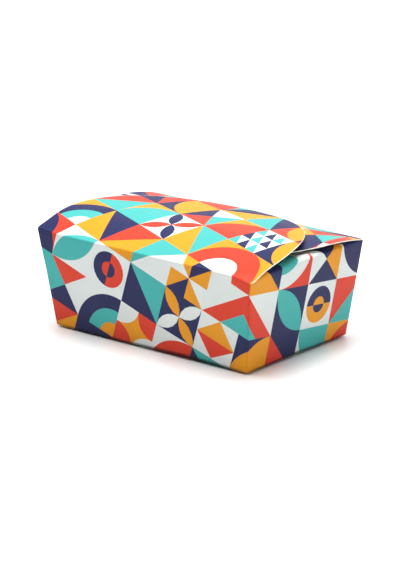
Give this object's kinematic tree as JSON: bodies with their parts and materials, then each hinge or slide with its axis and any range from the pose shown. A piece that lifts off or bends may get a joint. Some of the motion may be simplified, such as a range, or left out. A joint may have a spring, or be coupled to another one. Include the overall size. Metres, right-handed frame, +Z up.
{
  "type": "noodle takeaway box",
  "caption": "Shut folding-board takeaway carton for noodles: tapered tub with a low arched lid of rounded flaps lying over each other, printed all over with flat geometric shapes.",
  "frame": {"origin": "middle of the base, on the surface the carton stands on", "axes": "+X along the long side, -Y out of the front wall whose lid flap lies on top, +Z up"},
  "size_m": [0.204, 0.13, 0.0855],
  "materials": {
    "printed_board": "satin-coated white folding board with flat print in navy, red, orange-yellow, turquoise and white"
  },
  "bodies": {
    "root": {"carton": "printed_board"}
  },
  "joints": []
}
